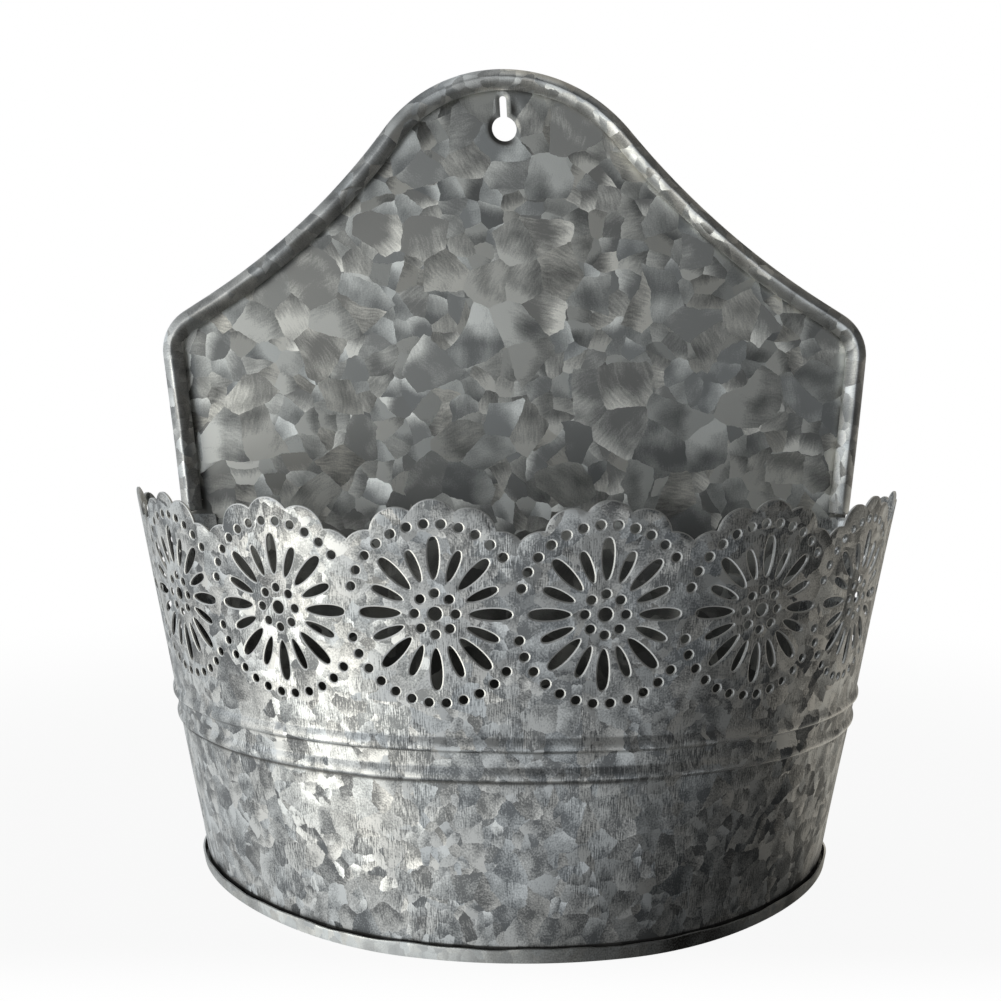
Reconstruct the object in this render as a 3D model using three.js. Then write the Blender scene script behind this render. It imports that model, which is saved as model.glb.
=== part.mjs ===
// Wall planter: a half-round tub of galvanised steel sheet with a tall flat back.
//
// Millimetres, +Z up. Seen from the front, +X is to the right and +Y points at the wall.
// The origin is on the surface the planter stands on, under the middle of its outer box.
//
// Four pieces make it:
//   front_wall  one strip, bent round, with a punched and scalloped border and two beads
//   back_panel  a flat sheet with a bell-shaped top, a rolled rim and a keyhole to hang it by
//   rim_wire    the wire that the rim is rolled round
//   floor_pan   the bottom, whose turned-up lip stands outside the foot of the wall

import * as THREE from 'three';

const DEGREE = Math.PI / 180;

// ---------------------------------------------------------------- driving dimensions

// Sheet metal.
const SHEET = 0.9; // thickness of every sheet
const GAP = 0.3; // clearance between two pieces that touch

// Plan of the wall's outer face at the height of the rosettes, from the middle of the
// front round to the back: a slow arc, a round side, and a heel that turns in.
const FRONT_RADIUS = 336;
const FRONT_LENGTH = 44;
const SIDE_RADIUS = 128;
const SIDE_LENGTH = 148;
const HEEL_RADIUS = 56;
const HEEL_LENGTH = 46;
const BEND_RADIUS = 2.4; // of the fold from the heel to the flange on the back panel
const FLANGE_WIDTH = 10;
const WIDTH_TAPER = 0.0012; // share of the width gained in each millimetre of height
const DEPTH_TAPER = 0.0005; // share of the depth gained in each millimetre of height
const FOOT_ROUNDING = 5.6; // by which the foot's plan is rounder at the front than the row's
const ROUNDING_WAVES = 0.8; // waves of that rounding from the front to the end of the heel

// Punched border. The rosettes' middles lie in one row; each rosette is a hole, a ring of
// hub dots, long and short petals by turns, and an outer ring of dots.
const ROW_HEIGHT = 118.5;
const CENTRE_HOLE_RADIUS = 2.4;
const DOT_RADIUS = 1.6;
const HUB_WEB = 2.9; // metal between the middle hole and the hub dots
const HUB_DOTS = 8;
const PETAL_WEB = 3; // metal between the hub dots and the petals
const LONG_PETAL = { length: 14.2, width: 4 };
const SHORT_PETAL = { length: 11.2, width: 3.1 };
const PETALS = 16;
// Corners of a petal: shares of its length from its point, and of its half width aside.
const PETAL_OUTLINE = [[0, 0], [0.65, 0.95], [1, 0.6], [1, -0.6], [0.65, -0.95]];
const RING_WEB = 2.7; // metal between the long petals and the outer ring of dots
const RING_PLACES = 32; // places round the ring; those near the row stay empty
const RING_DOTS_A_SIDE = 5; // dots on each side of the top and of the bottom of the ring
const RING_OVERLAP = 1.65; // by which a ring reaches over the line between two rosettes
const MIDLINE_DOT_RISE = 8.7; // height of the two dots between rosettes off the row

// Scalloped edge: lobes of one radius round each rosette.
const LOBE_RADIUS = 9.1;
const LOBE_INSET = 0.9; // from the ring of dots in to the lobes' middles
const LOBE_STEP = 25 * DEGREE;
const LOBES_A_SIDE = 2; // lobes on each side of the top one

// Plain part of the wall.
const BORDER_FOOT = 4.3; // from the lowest ring of dots down to the plain sheet
const BEAD_DROP = 9.7; // from there down to the middle of the upper bead
const BEAD_SPACING = 10;
const BEAD_HEIGHT = 5;
const BEAD_CREST = 2; // height of the bead's flat crest
const BEAD_RISE = 1.3; // by which a bead stands out of the wall

// Back panel.
const PANEL_HEIGHT = 341.7;
const PANEL_MARGIN = 1.5; // by which the panel's edge passes the wall's heel
const DOME_RADIUS = 70;
const DOME_TURN = 51.6 * DEGREE;
const FLANK_RADIUS = 335;
const FLANK_TURN = 19.4 * DEGREE;
const SHOULDER_RADIUS = 21;
const SIDE_LEAN = 0.104; // by which the side over the wall leans out for each millimetre up
const TOP_LEAN = 0.00017; // of the top to the left, for each square of the height over the rim's ends
const RIM_RADIUS = 4.6; // outer radius of the rolled rim
const RIM_ROLL = 312 * DEGREE; // how far round the sheet is rolled
const RIM_START = 1.5; // height of the rim's cut ends over the wall's edge beside them
const RELIEF = 1; // width of the saw cut under each end of the rim
const WIRE_CLEARANCE = 0.5; // between the wire and the rolled sheet round it

// Keyhole.
const KEYHOLE_DROP = 25.5; // from the top of the panel to the middle of the round hole
const KEYHOLE_RADIUS = 5.5;
const SLOT_WIDTH = 3;
const SLOT_REACH = 14.5; // from the middle of the round hole to the top of the slot

// Floor pan.
const LIP_HEIGHT = 5;
const FRONT_GROOVE = 0.5; // open groove between the wall and the lip, at the front
const SIDE_GROOVE = 1.6; // the same, round at the sides
const LIP_STOP = 4; // by which the lip ends short of the heel
const UPSTAND_HEIGHT = 12; // of the pan's turned-up back edge, on the back panel
const UPSTAND_CLEARANCE = 3; // between the upstand and the wall's flanges

// Facets.
const COLUMNS = 5; // of the plain sheet under each rosette
const DOT_SIDES = 5;
const LOBE_FACETS = 4; // even, so that the notch between two lobes is a corner
const SEAM_CLEARANCE = 1; // from the line between two rosettes' facets to a dot or a lobe
const RIM_FACETS = 10;
const WIRE_SIDES = 8;

// ---------------------------------------------------------------- helpers

// A plane path of arcs and straights, each given by its length and how far it turns left.
class ArcPath {
  constructor(x, y, heading, pieces) {
    this.pieces = [];
    this.length = 0;
    let start = { x, y, heading };
    for (const [length, turn] of pieces) {
      this.pieces.push({ ...start, from: this.length, length, turn });
      start = ArcPath.along(start, length, turn);
      this.length += length;
    }
    this.end = start;
  }

  static along(start, length, turn) {
    const half = turn / 2;
    const chord = Math.abs(half) > 1e-9 ? (length * Math.sin(half)) / half : length;
    return {
      x: start.x + chord * Math.cos(start.heading + half),
      y: start.y + chord * Math.sin(start.heading + half),
      heading: start.heading + turn,
    };
  }

  at(distance) {
    const piece = this.pieces.findLast((p) => p.from <= distance) ?? this.pieces[0];
    const run = distance - piece.from;
    return ArcPath.along(piece, run, (piece.turn * run) / piece.length);
  }

  // Distances that cut every piece into equal steps that turn or run no further than this.
  stations(maxTurn, maxRun) {
    const list = [0];
    for (const piece of this.pieces) {
      const steps = Math.max(Math.ceil(Math.abs(piece.turn) / maxTurn), Math.ceil(piece.length / maxRun));
      for (let i = 1; i <= steps; i++) list.push(piece.from + (piece.length * i) / steps);
    }
    return list;
  }
}

// A bent sheet: every corner has a place on the outer and one on the inner face, and every
// triangle lies on both. solid() joins the two faces along all open edges.
class Sheet {
  constructor() {
    this.outer = [];
    this.inner = [];
    this.triangles = [];
  }

  corner(outer, inner) {
    this.outer.push(outer);
    this.inner.push(inner);
    return this.outer.length - 1;
  }

  // a, b, c run anticlockwise as seen from outside.
  face(a, b, c) {
    this.triangles.push([a, b, c]);
  }

  quad(a, b, c, d) {
    this.face(a, b, c);
    this.face(a, c, d);
  }

  solid() {
    const count = this.outer.length;
    const edges = new Set();
    for (const [a, b, c] of this.triangles) {
      edges.add(`${a},${b}`).add(`${b},${c}`).add(`${c},${a}`);
    }
    const index = [];
    for (const [a, b, c] of this.triangles) {
      index.push(a, b, c, count + a, count + c, count + b);
      for (const [from, to] of [[a, b], [b, c], [c, a]]) {
        if (!edges.has(`${to},${from}`)) index.push(from, count + to, to, from, count + from, count + to);
      }
    }
    return solidGeometry([...this.outer, ...this.inner], index);
  }
}

function solidGeometry(points, index) {
  const geometry = new THREE.BufferGeometry();
  const coordinates = points.flatMap((point) => [point.x, point.y, point.z]);
  geometry.setAttribute('position', new THREE.Float32BufferAttribute(coordinates, 3));
  geometry.setIndex(index);
  geometry.computeVertexNormals();
  return geometry;
}

function galvanised(color, roughness) {
  return new THREE.MeshStandardMaterial({ color, metalness: 0.8, roughness });
}

function addPiece(group, name, geometry, material) {
  const mesh = new THREE.Mesh(geometry, material);
  mesh.name = name;
  group.add(mesh);
}

// ---------------------------------------------------------------- the wall's shape

const frontTurn = FRONT_LENGTH / FRONT_RADIUS;
const sideTurn = SIDE_LENGTH / SIDE_RADIUS;
const heelTurn = HEEL_LENGTH / HEEL_RADIUS;
const bendTurn = Math.PI - frontTurn - sideTurn - heelTurn;
const halfGirth = FRONT_LENGTH + SIDE_LENGTH + HEEL_LENGTH;
const wallPlan = new ArcPath(0, 0, 0, [
  [FRONT_LENGTH, frontTurn],
  [SIDE_LENGTH, sideTurn],
  [HEEL_LENGTH, heelTurn],
  [BEND_RADIUS * bendTurn, bendTurn],
  [FLANGE_WIDTH, 0],
]);
const wallDepth = wallPlan.end.y;

const widthScale = (z) => 1 + WIDTH_TAPER * (z - ROW_HEIGHT);
const depthScale = (z) => 1 + DEPTH_TAPER * (z - ROW_HEIGHT);

// How far the wall is moved towards the front to make the foot's plan rounder: forwards in
// the middle, backwards at the sides, and not at all in the row or at the end of the heel.
function rounding(girth, z) {
  const share = Math.min(Math.abs(girth) / halfGirth, 1);
  const wave = Math.cos(2 * Math.PI * ROUNDING_WAVES * share) * (1 - share ** 4);
  return FOOT_ROUNDING * (1 - z / ROW_HEIGHT) * wave;
}

// A place on the wall: girth runs from the middle of the front, to the right where positive,
// and depth into the sheet counts from the outer face inwards.
function wallPlace(girth, z, intoSheet) {
  const plan = wallPlan.at(Math.abs(girth));
  const x = plan.x - intoSheet * Math.sin(plan.heading);
  const y = plan.y + intoSheet * Math.cos(plan.heading);
  const side = Math.sign(girth);
  const fromPanel = -GAP - (wallDepth - y) * depthScale(z) - rounding(girth, z);
  return new THREE.Vector3(side * x * widthScale(z), fromPanel, z);
}

// Half width of the wall's outer face where the heel meets the flange's bend.
const heelHalfWidth = (z) => wallPlan.at(halfGirth).x * widthScale(z);

// ---------------------------------------------------------------- the rosettes

const hubRadius = CENTRE_HOLE_RADIUS + HUB_WEB + DOT_RADIUS;
const petalStart = hubRadius + DOT_RADIUS + PETAL_WEB;
const ringRadius = petalStart + LONG_PETAL.length + RING_WEB + DOT_RADIUS;
const pitch = 2 * (ringRadius - RING_OVERLAP);
const rosettes = Math.floor((2 * halfGirth) / pitch);
const lobeCircle = ringRadius - LOBE_INSET;
const borderFoot = ROW_HEIGHT - ringRadius - BORDER_FOOT;
const ringStep = (2 * Math.PI) / RING_PLACES;

// Polar place round a rosette's middle, with the angle measured from straight up.
const polar = (radius, angle) => new THREE.Vector2(radius * Math.sin(angle), radius * Math.cos(angle));

function dot(middle, radius) {
  const corner = (i) => middle.clone().add(polar(radius, (2 * Math.PI * i) / DOT_SIDES));
  return Array.from({ length: DOT_SIDES }, (_, i) => corner(i));
}

// A petal has its point towards the rosette's middle and swells to its blunt outer end.
function petal({ length, width }, angle) {
  const axis = polar(1, angle);
  const across = new THREE.Vector2(axis.y, -axis.x);
  const corner = ([along, aside]) =>
    axis.clone().multiplyScalar(petalStart + along * length).addScaledVector(across, (aside * width) / 2);
  return PETAL_OUTLINE.map(corner);
}

// All the holes of one rosette, with the dots that it shares with its left neighbour.
function rosetteHoles() {
  const holes = [dot(new THREE.Vector2(0, 0), CENTRE_HOLE_RADIUS)];
  for (let i = 0; i < HUB_DOTS; i++) {
    holes.push(dot(polar(hubRadius, (2 * Math.PI * i) / HUB_DOTS), DOT_RADIUS));
  }
  for (let i = 0; i < PETALS; i++) {
    holes.push(petal(i % 2 ? SHORT_PETAL : LONG_PETAL, (2 * Math.PI * i) / PETALS));
  }
  for (const up of [0, Math.PI]) {
    for (let i = -RING_DOTS_A_SIDE; i < RING_DOTS_A_SIDE; i++) {
      holes.push(dot(polar(ringRadius, up + (i + 0.5) * ringStep), DOT_RADIUS));
    }
  }
  for (const rise of [-1, 1]) {
    holes.push(dot(sideDot(rise), DOT_RADIUS));
    holes.push(dot(new THREE.Vector2(-pitch / 2, rise * MIDLINE_DOT_RISE), DOT_RADIUS));
  }
  return holes;
}

// The last ring dot on the left, above or below the row.
function sideDot(rise) {
  const place = polar(ringRadius, -(RING_DOTS_A_SIDE + 0.5) * ringStep);
  return new THREE.Vector2(place.x, rise * place.y);
}

// Distance from a rosette's middle to the scalloped edge, in the direction of an angle.
function scallop(angle) {
  const nearest = THREE.MathUtils.clamp(Math.round(angle / LOBE_STEP), -LOBES_A_SIDE, LOBES_A_SIDE);
  const aside = angle - nearest * LOBE_STEP;
  return lobeCircle * Math.cos(aside) + Math.sqrt(LOBE_RADIUS ** 2 - (lobeCircle * Math.sin(aside)) ** 2);
}

// Girth and height of a place near a rosette. The punched shapes keep their true size, so
// a place on a wide part of the wall takes less girth, which is measured in the row.
function onWall(middleGirth, place) {
  const z = ROW_HEIGHT + place.y;
  return new THREE.Vector2(middleGirth + place.x / widthScale(z), z);
}

// Height over the row of the valley between two rosettes.
function valleyRise() {
  const lobe = polar(lobeCircle, LOBES_A_SIDE * LOBE_STEP);
  let rise = lobe.y;
  for (let i = 0; i < 4; i++) {
    const reach = (pitch / 2) * widthScale(ROW_HEIGHT + rise) - lobe.x;
    rise = lobe.y + Math.sqrt(Math.max(LOBE_RADIUS ** 2 - reach ** 2, 0));
  }
  return rise;
}

// ---------------------------------------------------------------- front wall

function frontWall() {
  const sheet = new Sheet();
  const known = new Map();
  const beads = [borderFoot - BEAD_DROP - BEAD_SPACING, borderFoot - BEAD_DROP];

  // How far the bead stands out: nothing on the flat flanges.
  function swell(girth, z) {
    if (Math.abs(girth) > halfGirth) return 0;
    return beads.some((middle) => Math.abs(z - middle) < BEAD_HEIGHT / 2 - 1e-6) ? BEAD_RISE : 0;
  }

  function corner(girth, z) {
    const key = `${girth.toFixed(4)},${z.toFixed(4)}`;
    if (!known.has(key)) {
      const out = -swell(girth, z);
      known.set(key, sheet.corner(wallPlace(girth, z, out), wallPlace(girth, z, out + SHEET)));
    }
    return known.get(key);
  }

  function grid(girths, heights) {
    for (let i = 1; i < girths.length; i++) {
      for (let j = 1; j < heights.length; j++) {
        const [left, right, low, high] = [girths[i - 1], girths[i], heights[j - 1], heights[j]];
        sheet.quad(corner(left, low), corner(right, low), corner(right, high), corner(left, high));
      }
    }
  }

  // Columns: equal steps under the rosettes, then the heel's rest, the bend and the flange.
  const borderEnd = (rosettes * pitch) / 2;
  const turned = [borderEnd, (borderEnd + halfGirth) / 2, halfGirth];
  const fold = BEND_RADIUS * bendTurn;
  turned.push(halfGirth + fold / 2, halfGirth + fold, halfGirth + fold + FLANGE_WIDTH);
  const rightEnd = turned.filter((girth, i) => i === 0 || girth > turned[i - 1] + 0.5);
  const leftEnd = rightEnd.map((girth) => -girth).reverse();
  const under = [];
  for (let i = 0; i <= rosettes * COLUMNS; i++) under.push(-borderEnd + (i * pitch) / COLUMNS);

  // Rows: the foot, the two beads and the line where the punched border starts.
  const rows = [SHEET + GAP];
  for (const middle of beads) {
    for (const half of [-BEAD_HEIGHT / 2, -BEAD_CREST / 2, BEAD_CREST / 2, BEAD_HEIGHT / 2]) {
      rows.push(middle + half);
    }
  }
  rows.push(borderFoot);
  grid([...leftEnd.slice(0, -1), ...under, ...rightEnd.slice(1)], rows);

  // The line between two rosettes steps left round the dots that the right one owns.
  const valley = valleyRise();
  const clear = DOT_RADIUS + SEAM_CLEARANCE;
  const seam = [new THREE.Vector2(0, borderFoot - ROW_HEIGHT)];
  for (const rise of [-1, 1]) {
    const bySide = new THREE.Vector2(Math.min(sideDot(rise).x + pitch / 2, 0) - clear / 2, sideDot(rise).y);
    const byMiddle = new THREE.Vector2(-clear, rise * MIDLINE_DOT_RISE);
    seam.push(...(rise < 0 ? [bySide, byMiddle, new THREE.Vector2(0, 0)] : [byMiddle, bySide]));
  }
  seam.push(new THREE.Vector2(0, valley));
  const seamAt = (line) => seam.map((place) => onWall(line, place));

  // Scalloped edge of one rosette from its right valley to its left one.
  const edge = [];
  for (let i = LOBES_A_SIDE * LOBE_FACETS; i >= -LOBES_A_SIDE * LOBE_FACETS; i--) {
    const angle = (i * LOBE_STEP) / LOBE_FACETS;
    const place = polar(scallop(angle), angle);
    const halfPitch = (pitch / 2) * widthScale(ROW_HEIGHT + place.y);
    if (Math.abs(place.x) < halfPitch - SEAM_CLEARANCE) edge.push(place);
  }

  const holes = rosetteHoles();
  for (let n = 0; n < rosettes; n++) {
    const left = -borderEnd + n * pitch;
    const middle = left + pitch / 2;
    const foot = [];
    for (let i = 1; i < COLUMNS; i++) foot.push(new THREE.Vector2(left + (i * pitch) / COLUMNS, borderFoot));
    const contour = [
      ...foot,
      ...seamAt(left + pitch),
      ...edge.map((place) => onWall(middle, place)),
      ...seamAt(left).reverse(),
    ];
    const cut = holes.map((hole) => hole.map((place) => onWall(middle, place)));
    const places = [contour, ...cut].flat();
    for (const [a, b, c] of THREE.ShapeUtils.triangulateShape(contour, cut)) {
      sheet.face(...[a, b, c].map((i) => corner(places[i].x, places[i].y)));
    }
  }

  // Plain ends of the border beside the first and the last rosette, and the flanges.
  for (const [seamGirth, ends] of [[-borderEnd, leftEnd], [borderEnd, rightEnd]]) {
    const line = seamAt(seamGirth);
    const columns = ends.map((girth) => (girth === seamGirth ? null : girth));
    for (let i = 1; i < columns.length; i++) {
      for (let j = 1; j < line.length; j++) {
        const at = (girth, place) => (girth === null ? corner(place.x, place.y) : corner(girth, place.y));
        sheet.quad(
          at(columns[i - 1], line[j - 1]), at(columns[i], line[j - 1]),
          at(columns[i], line[j]), at(columns[i - 1], line[j]),
        );
      }
    }
  }
  return sheet.solid();
}

// ---------------------------------------------------------------- back panel

// Behind the wall the panel's edge follows the wall's heel.
const panelHalfWidth = (z) => heelHalfWidth(z) + PANEL_MARGIN;
const rimStart = ROW_HEIGHT + valleyRise() + RIM_START;

// A place of the panel's drawing, set upright at a depth: its top leans to the left.
const onPanel = (place, depth) =>
  new THREE.Vector3(place.x - TOP_LEAN * Math.max(place.y - rimStart, 0) ** 2, depth, place.y);

// Right half of the panel's outline, from the middle of its top down to the rim's cut end.
function panelOutline() {
  const slope = -DOME_TURN + FLANK_TURN;
  const down = -Math.PI / 2 - Math.atan(SIDE_LEAN);
  const dome = [DOME_RADIUS * DOME_TURN, -DOME_TURN];
  const flank = [FLANK_RADIUS * FLANK_TURN, FLANK_TURN];
  const shoulder = [SHOULDER_RADIUS * (slope - down), down - slope];
  const bell = new ArcPath(0, PANEL_HEIGHT, 0, [dome, flank]).end;
  const corner = new ArcPath(0, 0, slope, [shoulder]).end;
  const side = panelHalfWidth(rimStart) + SIDE_LEAN * (bell.y + corner.y - rimStart);
  const straight = (side - bell.x - corner.x) / (Math.cos(slope) - SIDE_LEAN * Math.sin(slope));
  const top = new ArcPath(0, PANEL_HEIGHT, 0, [dome, flank, [straight, 0], shoulder]);
  const fall = (top.end.y - rimStart) / Math.cos(Math.atan(SIDE_LEAN));
  return new ArcPath(0, PANEL_HEIGHT, 0, [dome, flank, [straight, 0], shoulder, [fall, 0]]);
}

// Places along the middle of the rolled rim from its left end over the top to its right end,
// each with the direction out of the panel.
function rimLine() {
  const outline = panelOutline();
  const right = outline.stations(12 * DEGREE, 50).map((distance) => {
    const place = outline.at(distance);
    const out = new THREE.Vector2(-Math.sin(place.heading), Math.cos(place.heading));
    return { middle: new THREE.Vector2(place.x, place.y).addScaledVector(out, -RIM_RADIUS), out };
  });
  const mirrored = ({ middle, out }) => ({
    middle: new THREE.Vector2(-middle.x, middle.y),
    out: new THREE.Vector2(-out.x, out.y),
  });
  return [...right.slice(1).map(mirrored).reverse(), ...right];
}

function keyholeOutline() {
  const middle = PANEL_HEIGHT - KEYHOLE_DROP;
  const mouth = Math.asin(SLOT_WIDTH / 2 / KEYHOLE_RADIUS);
  const path = new THREE.Path();
  path.absarc(0, middle, KEYHOLE_RADIUS, Math.PI / 2 + mouth, Math.PI / 2 - mouth + 2 * Math.PI, false);
  path.lineTo(SLOT_WIDTH / 2, middle + SLOT_REACH - SLOT_WIDTH / 2);
  path.absarc(0, middle + SLOT_REACH - SLOT_WIDTH / 2, SLOT_WIDTH / 2, 0, Math.PI, false);
  const points = path.getPoints(10);
  return points.filter((place, i) => i === 0 || place.distanceTo(points[i - 1]) > 0.1);
}

function backPanel() {
  const sheet = new Sheet();
  const flat = (place) => sheet.corner(onPanel(place, SHEET), onPanel(place, 0));

  // The outer face of the sheet is the back one, and it rolls out, forwards and in again.
  const line = rimLine();
  const rings = line.map(({ middle, out }) => {
    const ring = [flat(middle)];
    for (let i = 1; i <= RIM_FACETS; i++) {
      const angle = (RIM_ROLL * i) / RIM_FACETS;
      const rolled = (radius) => {
        const place = middle.clone().addScaledVector(out, radius * Math.sin(angle));
        return onPanel(place, SHEET - RIM_RADIUS + radius * Math.cos(angle));
      };
      ring.push(sheet.corner(rolled(RIM_RADIUS), rolled(RIM_RADIUS - SHEET)));
    }
    return ring;
  });
  for (let i = 1; i < rings.length; i++) {
    for (let j = 1; j <= RIM_FACETS; j++) {
      sheet.quad(rings[i - 1][j - 1], rings[i - 1][j], rings[i][j], rings[i][j - 1]);
    }
  }

  // The flat sheet: under the saw cuts it is as wide as the rim.
  const cutHeight = rimStart - RELIEF;
  const right = [
    new THREE.Vector2(line.at(-1).middle.x - 0.2, cutHeight),
    new THREE.Vector2(panelHalfWidth(cutHeight), cutHeight),
    new THREE.Vector2(panelHalfWidth(0), 0),
  ];
  const left = right.map((place) => new THREE.Vector2(-place.x, place.y)).reverse();
  const rootLine = line.map(({ middle }) => middle);
  const below = [...right, ...left];
  const contour = [...rootLine, ...below];
  const keyhole = keyholeOutline();
  const corners = [...rings.map((ring) => ring[0]), ...[...below, ...keyhole].map(flat)];
  for (const [a, b, c] of THREE.ShapeUtils.triangulateShape([...contour].reverse(), [keyhole])) {
    const original = [a, b, c].map((i) => (i < contour.length ? contour.length - 1 - i : i));
    sheet.face(corners[original[0]], corners[original[2]], corners[original[1]]);
  }
  return sheet.solid();
}

// ---------------------------------------------------------------- rim wire

function rimWire() {
  const radius = RIM_RADIUS - SHEET - WIRE_CLEARANCE;
  const points = [];
  const index = [];
  const line = rimLine();
  for (const { middle, out } of line) {
    for (let i = 0; i < WIRE_SIDES; i++) {
      const angle = (2 * Math.PI * i) / WIRE_SIDES;
      const place = middle.clone().addScaledVector(out, radius * Math.sin(angle));
      points.push(onPanel(place, SHEET - RIM_RADIUS + radius * Math.cos(angle)));
    }
  }
  for (let n = 1; n < line.length; n++) {
    for (let i = 0; i < WIRE_SIDES; i++) {
      const [a, b] = [(n - 1) * WIRE_SIDES + i, (n - 1) * WIRE_SIDES + ((i + 1) % WIRE_SIDES)];
      index.push(a, b, b + WIRE_SIDES, a, b + WIRE_SIDES, a + WIRE_SIDES);
    }
  }
  const last = (line.length - 1) * WIRE_SIDES;
  for (let i = 2; i < WIRE_SIDES; i++) index.push(0, i, i - 1, last, last + i - 1, last + i);
  return solidGeometry(points, index);
}

// ---------------------------------------------------------------- floor pan

function floorPan() {
  const sheet = new Sheet();
  const lipEnd = halfGirth - LIP_STOP;
  const steps = rosettes * COLUMNS;

  // The groove between wall and lip opens from the front to the sides.
  const groove = (girth) =>
    THREE.MathUtils.lerp(FRONT_GROOVE, SIDE_GROOVE, Math.min(Math.abs(girth) / SIDE_LENGTH, 1));
  const lip = (girth, z) => wallPlace(girth, z, -groove(girth) - SHEET);
  const lipInside = (girth, z) => wallPlace(girth, z, -groove(girth));

  const rim = [];
  for (let i = 0; i <= steps; i++) {
    const girth = lipEnd * ((2 * i) / steps - 1);
    const foot = sheet.corner(lip(girth, 0), lipInside(girth, SHEET));
    const top = sheet.corner(lip(girth, LIP_HEIGHT), lipInside(girth, LIP_HEIGHT));
    rim.push({ foot, top });
  }
  for (let i = 1; i <= steps; i++) {
    sheet.quad(rim[i - 1].foot, rim[i].foot, rim[i].top, rim[i - 1].top);
  }

  // Back edge: plain beside the wall's flanges, turned up between them.
  const backCorner = sheet.outer[rim.at(-1).foot].x;
  const upstandHalf = heelHalfWidth(UPSTAND_HEIGHT) - FLANGE_WIDTH - BEND_RADIUS - UPSTAND_CLEARANCE;
  const plainEdge = (x) =>
    sheet.corner(new THREE.Vector3(x, -GAP, 0), new THREE.Vector3(x, -GAP, SHEET));
  const upstandAt = (x) => ({
    foot: sheet.corner(new THREE.Vector3(x, -GAP, 0), new THREE.Vector3(x, -GAP - SHEET, SHEET)),
    top: sheet.corner(
      new THREE.Vector3(x, -GAP, UPSTAND_HEIGHT), new THREE.Vector3(x, -GAP - SHEET, UPSTAND_HEIGHT),
    ),
  });
  const [upRight, upLeft] = [upstandAt(upstandHalf), upstandAt(-upstandHalf)];
  sheet.quad(upRight.foot, upLeft.foot, upLeft.top, upRight.top);

  const edge = [
    ...rim.map(({ foot }) => foot),
    plainEdge(backCorner), plainEdge(upstandHalf + SHEET), upRight.foot,
    upLeft.foot, plainEdge(-upstandHalf - SHEET), plainEdge(-backCorner),
  ];
  const contour = edge.map((i) => new THREE.Vector2(sheet.outer[i].x, sheet.outer[i].y));
  for (const [a, b, c] of THREE.ShapeUtils.triangulateShape(contour, [])) {
    sheet.face(edge[a], edge[c], edge[b]);
  }
  return sheet.solid();
}

// ---------------------------------------------------------------- assembly

const planter = new THREE.Group();
addPiece(planter, 'front_wall', frontWall(), galvanised(0x9b9c9a, 0.42));
addPiece(planter, 'back_panel', backPanel(), galvanised(0x8c8e8e, 0.45));
addPiece(planter, 'rim_wire', rimWire(), galvanised(0x8c8e8e, 0.5));
addPiece(planter, 'floor_pan', floorPan(), galvanised(0x7c7c79, 0.55));

const box = new THREE.Box3().setFromObject(planter);
planter.position.set(0, -(box.min.y + box.max.y) / 2, -box.min.z);

export default planter;
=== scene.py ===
import bpy
import numpy as np
from mathutils import Matrix, Vector
from mathutils.geometry import delaunay_2d_cdt


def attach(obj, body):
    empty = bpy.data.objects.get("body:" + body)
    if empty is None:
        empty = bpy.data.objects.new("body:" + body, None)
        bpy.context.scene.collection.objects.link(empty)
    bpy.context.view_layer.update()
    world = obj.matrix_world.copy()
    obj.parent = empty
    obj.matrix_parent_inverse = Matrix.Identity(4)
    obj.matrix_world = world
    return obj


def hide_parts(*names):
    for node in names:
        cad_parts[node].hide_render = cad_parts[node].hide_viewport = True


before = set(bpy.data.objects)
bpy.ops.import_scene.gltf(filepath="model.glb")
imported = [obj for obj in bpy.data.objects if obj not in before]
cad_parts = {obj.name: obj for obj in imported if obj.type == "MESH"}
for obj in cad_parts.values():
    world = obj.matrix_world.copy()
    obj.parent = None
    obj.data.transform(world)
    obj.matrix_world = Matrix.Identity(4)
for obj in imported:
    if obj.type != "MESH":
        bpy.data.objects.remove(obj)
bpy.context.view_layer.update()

# ---------------------------------------------------------------- front wall
# One strip of galvanised steel sheet, bent to a half round and flanged onto the back panel.
# Its upper edge is a lace of eight punched rosettes with lobes; two beads are rolled in below.

SHEET = 0.9
CLEARANCE = 0.3
PANEL_FACE = 69.75
ROW = 118.5
WIDENING, DEEPENING = 0.0012, 0.0005
FOOT_ROUNDING = 5.6
FOLD_RADIUS = 2.4
ARC_LENGTHS = np.array([44.0, 148.0, 46.0, 0.0, 10.0])
ARC_TURNS = np.array([44 / 336, 148 / 128, 46 / 56, 0.0, 0.0])
ARC_TURNS[3] = np.pi - ARC_TURNS.sum()
ARC_LENGTHS[3] = FOLD_RADIUS * ARC_TURNS[3]
HALF_GIRTH = ARC_LENGTHS[:3].sum()
FOLD_END = HALF_GIRTH + ARC_LENGTHS[3]
FLANGE_END = FOLD_END + ARC_LENGTHS[4]
PITCH = 56.7
ROSETTES = 8
BORDER_FOOT = 84.2
BEADS = (64.5, 74.5)
BEAD_HALF = 2.6
BEAD_RISE = 1.3
LOBE_CIRCLE = 29.1
LOBE_RADIUS = 9.1
LOBE_STEP = np.radians(25)
DOT_RADIUS = 1.6
MIDDLE_RADIUS = 2.4
HUB_CIRCLE = 6.9
DOT_CIRCLE = 30.0
SIDE_DOT_RISE = 8.7
PETAL_START = 11.5
LONG_PETAL = (14.2, 4.0)
SHORT_PETAL = (11.2, 3.1)
EDGE_ROLL = (0.45, 0.2)
HEM = (5.5, 5.9)


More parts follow.
